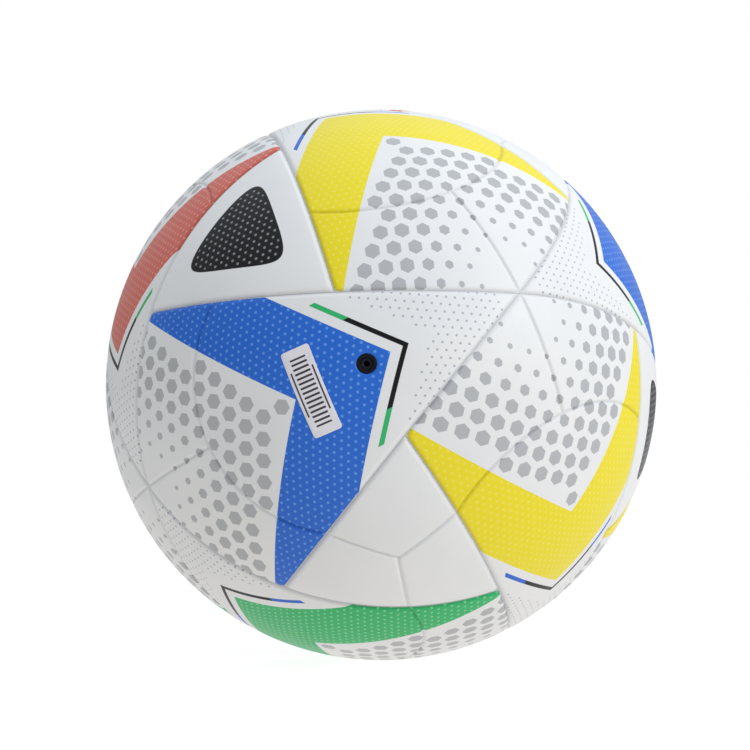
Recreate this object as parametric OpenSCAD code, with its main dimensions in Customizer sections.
// Soccer ball: twenty thermally bonded panels on a wound carcass with an air bladder and a valve.
//
// Eight small triangles lie on the diagonals (+-1, +-1, +-1) of a cube and twelve kites lie
// between them, on the diagonals (+-1, +-1, 0) and their like. Each side of a triangle runs on
// past one corner to the middle of a cube face, so every seam is an arc of one of 24 equal
// small circles of the sphere. Neighbouring triangles are mirror images of each other.
// The layers from outside to inside are cover skin, foam backing, carcass and bladder.
// The origin is the centre of the ball, and the valve points along -Y.

/* [Ball] */
// Outside diameter of the inflated ball
ball_d = 220; // [180:0.5:225]
// Turn of the whole ball about the axis of its valve, in degrees
ball_turn = -26.2; // [-180:0.1:180]
// Diameter of the flat patch that the ball's own weight presses into its underside
rest_patch_d = 10; // [6:0.5:14]

/* [Layers] */
// Thickness of the cover skin
skin_t = 1.3; // [1:0.1:2]
// Thickness of the edge of the skin that is folded in along the seams
fold_t = 1; // [0.6:0.1:2]
// Thickness of the foam backing
foam_t = 3; // [2:0.1:5]
// Thickness of the wound carcass
carcass_t = 1.5; // [1:0.1:3]
// Thickness of the rubber bladder
bladder_t = 1.1; // [0.7:0.1:2]
// Glue line between two layers
glue_t = 0.2; // [0.1:0.05:0.4]

/* [Seams] */
// Turn of a seam circle's axis away from the cube axis, in degrees
seam_turn = 22.6; // [21:0.1:24]
// How far a seam circle stays short of a great circle, in degrees
seam_bow = 11.2; // [10:0.1:12.5]
// Distance between the folded edges of two panels
seam_gap = 0.9; // [0.7:0.1:1.5]
// Width of the bevel on each panel along a seam
bevel_w = 1.1; // [0.5:0.1:2]
// Depth of the bevel
bevel_depth = 0.9; // [0.4:0.1:1.2]
// How deep the seam adhesive lies below the outside of the ball
bond_depth = 1.6; // [1.3:0.1:2.5]
// Diameter of the adhesive plug where four panels meet
plug_d = 3; // [2.6:0.1:4]
// Play between the seam adhesive and each panel edge
bond_play = 0.15; // [0.1:0.05:0.25]

/* [Grooves] */
// Width of a groove pressed into the cover
groove_w = 1.8; // [1:0.1:2.5]
// Depth of a groove
groove_depth = 0.7; // [0.3:0.1:0.9]
// Diameter of the round pit where the grooves of a triangle meet
groove_pit_d = 2.4; // [2:0.1:4]
// Depth of the pit
groove_pit_depth = 0.8; // [0.4:0.1:0.95]
// Angular radius of the curved groove across a kite
kite_groove_angle = 29.6; // [28:0.1:31]
// Where the curved groove crosses the middle line of a kite, in degrees from its blunt corner
kite_groove_at = 23.5; // [22:0.1:25]

/* [Valve] */
// Place of the valve on the middle line of its kite, in degrees from the blunt corner
valve_at = 58.1; // [52:0.1:62]
// Diameter of the rubber head that shows in the cover
valve_head_d = 6.7; // [6:0.1:8]
// How far the head lies below the outside of the ball
valve_head_sink = 0.2; // [0.1:0.1:0.6]
// Diameter of the valve stem behind the cover
valve_stem_d = 10; // [9:0.1:14]
// Length of the valve housing from its head inwards
valve_housing_l = 20; // [17:0.5:26]
// Play around the valve in the layers it passes through
valve_play = 0.15; // [0.1:0.05:0.4]
// Diameter of the flange that is bonded to the inside of the bladder
flange_d = 30; // [24:1:40]
// Thickness of the flange
flange_t = 1.5; // [1:0.1:3]
// Diameter of the valve core's neck
core_neck_d = 4; // [3.6:0.1:4.6]
// Diameter of the valve core's body
core_body_d = 6; // [5.6:0.1:7]
// Length of the neck
core_neck_l = 6; // [4:0.5:8]
// How far the core lies below the face of the head
core_sink = 0.4; // [0.2:0.1:1]
// How far the core stands out of the housing's inner end
core_proud = 3; // [1:0.5:5]
// Play between the core and its housing
core_play = 0.1; // [0.05:0.05:0.2]
// Diameter of the bore for the pump needle
needle_bore_d = 2; // [1.6:0.1:2.4]
// Length of the bore
needle_bore_l = 18; // [12:0.5:19]

/* [Balance patch] */
// Diameter of the patch that balances the valve, opposite to it inside the bladder
patch_d = 36; // [24:1:44]
// Thickness of the patch
patch_t = 1.8; // [1:0.1:3]

/* [Hidden] */
$fn = 144;
TRIANGLES = 8;
KITES = 12;

// Radii of the layers, from the outside in, and the height of the ball's centre over the ground
ball_r = ball_d / 2;
rest_h = sqrt(ball_r * ball_r - rest_patch_d * rest_patch_d / 4);
skin_in_r = ball_r - skin_t;
foam_out_r = skin_in_r - glue_t;
foam_in_r = foam_out_r - foam_t;
carcass_out_r = foam_in_r - glue_t;
carcass_in_r = carcass_out_r - carcass_t;
bladder_out_r = carcass_in_r - glue_t;
bladder_in_r = bladder_out_r - bladder_t;

// Half widths across a seam
edge_inset = seam_gap / 2;
lining_inset = edge_inset + fold_t;
foam_inset = lining_inset + glue_t;
bond_half_w = edge_inset - bond_play;
bond_r = ball_r - bond_depth;

// The diagonal that the panels repeat about, three times round
DIAGONAL = [1, 1, 1];
THIRD_TURN = 120;

// Seam circles: one side of the triangle at (1, 1, 1) and the two that follow by thirds of a turn
seam_angle = 90 - seam_bow;
seam_axis = [-cos(seam_bow) * sin(seam_turn), sin(seam_bow), cos(seam_bow) * cos(seam_turn)];
last_seam_axis = [seam_axis.y, seam_axis.z, seam_axis.x];
corner = crossing(seam_axis, cos(seam_angle), last_seam_axis, cos(seam_angle), -1);

// The curved groove of a kite and where it meets the seam
kite_groove_centre = kite_groove_at + kite_groove_angle;
kite_groove_axis = [cos(kite_groove_centre), sin(kite_groove_centre), 0];
groove_end = crossing(seam_axis, cos(seam_angle), kite_groove_axis, cos(kite_groove_angle), 1);

// Heights along the valve axis, from the centre of the ball
head_face = ball_r - valve_head_sink;
housing_end = head_face - valve_housing_l;
core_face = head_face - core_sink;
core_end = housing_end - core_proud;

// Ends of cuts run this far past what they cut
past = 2;

// Angle at the centre of the ball of a length along its surface
function arc_angle(length) = length / ball_r * 180 / PI;

// Point of a half plane at a distance from the centre and an angle from the axis
function polar(r, angle) = [r * sin(angle), r * cos(angle)];

// Unit vector along v
function unit(v) = v / norm(v);

// Point of the unit sphere with given cosines to the axes a and b, on one side of their plane
function crossing(a, cos_a, b, cos_b, side) =
    let (
        d = a * b,
        n = cross(a, b),
        p = ((cos_a - d * cos_b) * a + (cos_b - d * cos_a) * b) / (n * n)
    )
    p + side * sqrt((1 - p * p) / (n * n)) * n;

// Angle about an axis from point p to point q
function turn_between(axis, p, q) =
    acos(unit(cross(axis, p)) * unit(cross(axis, q)));

// Places children so that Z lies along an axis and X points to the side of p
module about_axis(axis, p) {
    y = unit(cross(axis, p));
    x = cross(y, axis);
    multmatrix([
        [x.x, y.x, axis.x, 0],
        [x.y, y.y, axis.y, 0],
        [x.z, y.z, axis.z, 0]
    ])
        children();
}

// Where the level plane at a height cuts the sphere of radius r
function at_height(r, height) = [sqrt(r * r - height * height), height];

// Outline of the panel edge at an angle from a seam's axis: flat wall, then the bevel outwards
function edge_outline(angle, lip_angle) =
    let (
        height = ball_r * cos(angle),
        foot = at_height(ball_r - bevel_depth, height),
        lip = polar(ball_r, lip_angle)
    )
    lip_angle == angle
        ? [[0, height], [ball_d, height]]
        : [[0, height], foot, lip + (lip - foot) * past];

// Part of space on the inner side of a seam circle, its edge a flat wall that may be bevelled
module inside_seam(inset, bevel) {
    angle = seam_angle - arc_angle(inset);
    edge = edge_outline(angle, angle - arc_angle(bevel));
    rotate_extrude()
        polygon(concat(edge, [[edge[len(edge) - 1].x, ball_d], [0, ball_d]]));
}

// Part of space on the outer side of a seam circle
module outside_seam(inset, bevel) {
    angle = seam_angle + arc_angle(inset);
    edge = edge_outline(angle, angle + arc_angle(bevel));
    rotate_extrude()
        polygon(concat(edge, [[ball_d, edge[len(edge) - 1].y], [ball_d, -ball_d], [0, -ball_d]]));
}

// Turns a shape about Z onto one of the three seam axes of the triangle at (1, 1, 1)
module onto_seam(turns) {
    rotate(a = THIRD_TURN * turns, v = DIAGONAL)
        rotate([-seam_bow, -seam_turn, 0])
            children();
}

// Part of space that belongs to the triangle at (1, 1, 1)
module triangle_zone(inset, bevel = 0) {
    intersection() {
        onto_seam(0) inside_seam(inset, bevel);
        onto_seam(1) inside_seam(inset, bevel);
        onto_seam(2) inside_seam(inset, bevel);
    }
}

// Part of space that belongs to the kite at (1, 1, 0): blunt corner on X, sharp corner on Y
module kite_zone(inset, bevel = 0) {
    intersection() {
        onto_seam(0) outside_seam(inset, bevel);
        mirror([0, 0, 1]) onto_seam(0) outside_seam(inset, bevel);
        onto_seam(2) inside_seam(inset, bevel);
        mirror([0, 0, 1]) onto_seam(2) inside_seam(inset, bevel);
    }
}

// Hollow sphere
module shell(outer, inner) {
    difference() {
        sphere(outer);
        sphere(inner);
    }
}

// Groove of V section along a circle of the sphere about Z, from X on for a number of degrees
module groove(angle, length) {
    side = arc_angle(groove_w) / 2;
    foot = polar(ball_r - groove_depth, angle);
    left = polar(ball_r, angle - side);
    right = polar(ball_r, angle + side);
    rotate_extrude(angle = length)
        polygon([foot, left + (left - foot) * past, right + (right - foot) * past]);
}

// Three grooves from a round pit in the middle of a triangle to its sides
module triangle_grooves() {
    middle = unit(DIAGONAL);
    axis = unit(cross(middle, groove_end));
    start = arc_angle(groove_pit_d / 4);
    for (i = [0:2])
        rotate(a = THIRD_TURN * i, v = DIAGONAL)
            about_axis(axis, middle)
                rotate(start)
                    groove(90, acos(middle * groove_end) + past - start);
    about_axis(middle, [1, 0, 0])
        translate([0, 0, ball_r - groove_pit_depth])
            cylinder(h = ball_r, d = groove_pit_d);
}

// Curved groove across a kite and straight groove from its blunt corner
module kite_grooves() {
    start = [groove_end.x, groove_end.y, -groove_end.z];
    half = turn_between(kite_groove_axis, groove_end, [1, 0, 0]);
    about_axis(kite_groove_axis, [1, 0, 0])
        rotate(-half - past)
            groove(kite_groove_angle, 2 * (half + past));
    rotate(-past)
        groove(90, kite_groove_at + past);
}

// Clears the corners of a kite for the adhesive plugs
module corner_holes() {
    for (turn = [[0, 90, 0], [-90, 0, 0]])
        rotate(turn)
            cylinder(h = ball_d, d = plug_d + 2 * bond_play);
}

// Skin of a panel with its edge folded in around the foam
module cover(is_kite) {
    difference() {
        intersection() {
            shell(ball_r, foam_in_r);
            if (is_kite)
                kite_zone(edge_inset, bevel_w);
            else
                triangle_zone(edge_inset, bevel_w);
        }
        intersection() {
            sphere(skin_in_r);
            if (is_kite)
                kite_zone(lining_inset);
            else
                triangle_zone(lining_inset);
        }
        children();
    }
}

// Foam backing of a panel
module foam(is_kite) {
    intersection() {
        shell(foam_out_r, foam_in_r);
        if (is_kite)
            kite_zone(foam_inset);
        else
            triangle_zone(foam_inset);
    }
}

// Turns the panel pattern so that the valve lies on -Y and the ball has its turn
module pattern_frame() {
    rotate([0, ball_turn, 0])
        rotate(-90 - valve_at)
            children();
}

// Mirrors children to the octant with the given signs
module octant(signs) {
    mirror([signs.x < 0 ? 1 : 0, 0, 0])
        mirror([0, signs.y < 0 ? 1 : 0, 0])
            mirror([0, 0, signs.z < 0 ? 1 : 0])
                children();
}

// Signs of a number's three lowest binary digits
function signs_of(number) = [for (place = [1, 2, 4]) floor(number / place) % 2 == 0 ? 1 : -1];

// Puts the triangle of (1, 1, 1) where triangle number i lies
module triangle_place(i) {
    pattern_frame() octant(signs_of(i - 1)) children();
}

// Puts the kite of (1, 1, 0) where kite number i lies
module kite_place(i) {
    pattern_frame()
        rotate(a = THIRD_TURN * floor((i - 1) / 4), v = DIAGONAL)
            octant(signs_of((i - 1) % 4))
                children();
}

// Turns Z to the valve axis
module along_valve() {
    rotate([90, 0, 0])
        children();
}

module valve_hole(d) {
    along_valve()
        cylinder(h = ball_d, d = d + 2 * valve_play);
}

// Ground that the ball stands on
module ground() {
    translate([-ball_d / 2, -ball_d / 2, -rest_h - ball_d])
        cube(ball_d);
}

module triangle_cover(i) {
    signs = signs_of(i - 1);
    color("white")
        difference() {
            triangle_place(i)
                cover(false)
                    if (signs.x * signs.y * signs.z < 0)
                        triangle_grooves();
            ground();
        }
}

module kite_cover(i) {
    color("gainsboro")
        difference() {
            kite_place(i)
                cover(true) {
                    kite_grooves();
                    corner_holes();
                }
            if (i == 1)
                valve_hole(valve_head_d);
            ground();
        }
}

module triangle_foam(i) {
    color("khaki")
        triangle_place(i)
            foam(false);
}

module kite_foam(i) {
    color("khaki")
        difference() {
            kite_place(i)
                foam(true);
            if (i == 1)
                valve_hole(valve_stem_d);
        }
}

// Adhesive along one side of the triangle at (1, 1, 1), from a corner to the plug on the cube axis
module seam_strip() {
    length = turn_between(seam_axis, corner, [0, 1, 0]) - arc_angle(plug_d / 2 + bond_play);
    height = ball_r * cos(seam_angle);
    low = height - bond_half_w;
    high = height + bond_half_w;
    intersection() {
        about_axis(seam_axis, corner)
            rotate(-past)
                rotate_extrude(angle = length + past)
                    polygon([
                        at_height(foam_in_r, low),
                        at_height(bond_r, low),
                        at_height(bond_r, high),
                        at_height(foam_in_r, high)
                    ]);
        onto_seam(2) inside_seam(0, 0);
    }
}

// Adhesive plug where four seams meet on the cube axis Z
module seam_plug() {
    translate([0, 0, foam_in_r])
        cylinder(h = bond_r - foam_in_r, d = plug_d);
}

module seam_adhesive() {
    color("silver") {
        for (i = [1:TRIANGLES])
            triangle_place(i)
                for (turns = [0:2])
                    rotate(a = THIRD_TURN * turns, v = DIAGONAL)
                        seam_strip();
        pattern_frame()
            for (turns = [0:2], end = [0, 1])
                rotate(a = THIRD_TURN * turns, v = DIAGONAL)
                    mirror([0, 0, end])
                        seam_plug();
    }
}

module carcass() {
    color("lightsteelblue")
        difference() {
            shell(carcass_out_r, carcass_in_r);
            valve_hole(valve_stem_d);
        }
}

module bladder() {
    color("black")
        difference() {
            shell(bladder_out_r, bladder_in_r);
            valve_hole(valve_stem_d);
        }
}

// Disc that follows the inside of the bladder, about Z
module bladder_disc(d, thickness) {
    outer = bladder_in_r - glue_t;
    intersection() {
        shell(outer, outer - thickness);
        cylinder(h = ball_d, d = d);
    }
}

// Body and neck of the valve core about Z, grown by the play of its seat
module core_body(play, bottom, top) {
    shoulder = core_face - core_neck_l;
    translate([0, 0, bottom])
        cylinder(h = shoulder + play - bottom, d = core_body_d + 2 * play);
    translate([0, 0, shoulder])
        cylinder(h = top - shoulder, d = core_neck_d + 2 * play);
}

module valve_housing() {
    color("black")
        along_valve()
            difference() {
                union() {
                    translate([0, 0, housing_end])
                        cylinder(h = valve_housing_l, d = valve_head_d);
                    translate([0, 0, housing_end])
                        cylinder(h = foam_out_r - housing_end, d = valve_stem_d);
                    bladder_disc(flange_d, flange_t);
                }
                core_body(core_play, housing_end - past, head_face + past);
            }
}

module valve_core() {
    color("midnightblue")
        along_valve()
            difference() {
                core_body(0, core_end, core_face);
                translate([0, 0, core_face - needle_bore_l])
                    cylinder(h = needle_bore_l + past, d = needle_bore_d);
            }
}

module balance_patch() {
    color("black")
        mirror([0, 1, 0])
            along_valve()
                bladder_disc(patch_d, patch_t);
}

for (i = [1:TRIANGLES])
    triangle_cover(i);
for (i = [1:KITES])
    kite_cover(i);
for (i = [1:TRIANGLES])
    triangle_foam(i);
for (i = [1:KITES])
    kite_foam(i);
seam_adhesive();
carcass();
bladder();
valve_housing();
valve_core();
balance_patch();
